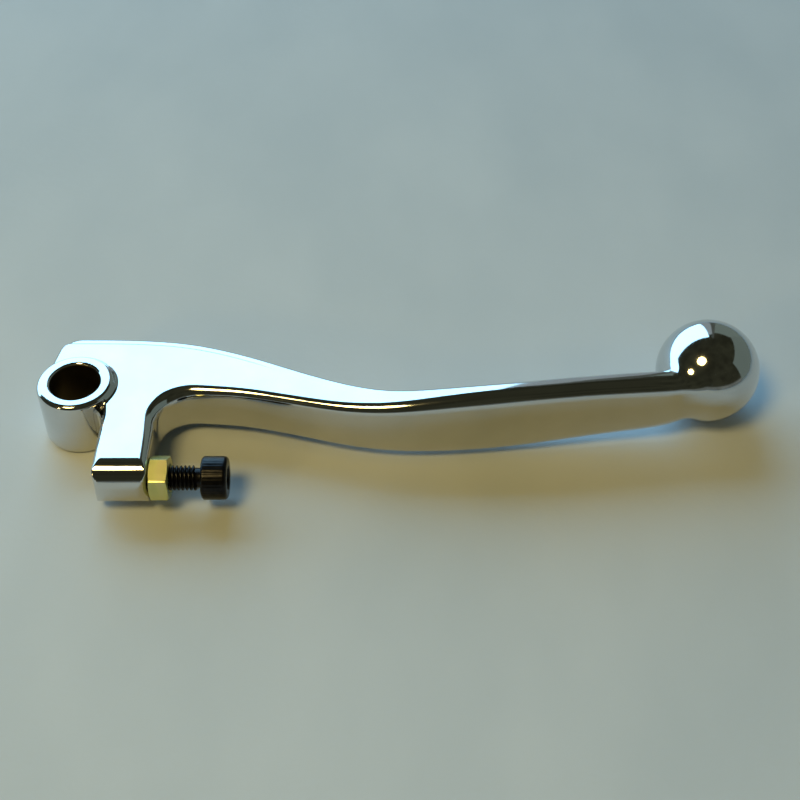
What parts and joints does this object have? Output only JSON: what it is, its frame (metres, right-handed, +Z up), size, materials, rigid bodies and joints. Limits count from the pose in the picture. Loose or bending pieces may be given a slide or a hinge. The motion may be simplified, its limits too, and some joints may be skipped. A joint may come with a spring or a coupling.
{
  "type": "clutch lever",
  "caption": "Polished motorcycle clutch lever with a ball end and a pushrod adjuster, which swings on a pivot bolt to press a hydraulic master cylinder.",
  "frame": {"origin": "on the pivot axis, in the lower face of the pivot boss", "axes": "+Z up along the pivot axis, +X along the blade towards the ball end, -Y along the adjuster leg towards the handlebar grip"},
  "size_m": [0.1467, 0.0409, 0.021],
  "materials": {
    "polished_alloy": "mirror polished",
    "black_oxide_steel": "black oxide",
    "yellow_zinc_steel": "yellow zinc plate"
  },
  "bodies": {
    "lever": {"lever_body": "polished_alloy"},
    "locknut": {"adjuster_locknut": "yellow_zinc_steel"},
    "screw": {"adjuster_screw": "black_oxide_steel"}
  },
  "joints": [
    {"name": "adjuster_travel", "type": "slide", "parent": "lever", "child": "locknut", "axis": [1, 0, 0], "range_m": [0, 0.0032]},
    {"name": "adjuster_turn", "type": "hinge", "parent": "locknut", "child": "screw", "pos_m": [0.02, -0.02005, 0.00665], "axis": [1, 0, 0], "range_deg": [0, 1440]}
  ],
  "couplings": [
    {"joint": "adjuster_turn", "follows": "adjuster_travel", "rad_per_m": 7854}
  ]
}
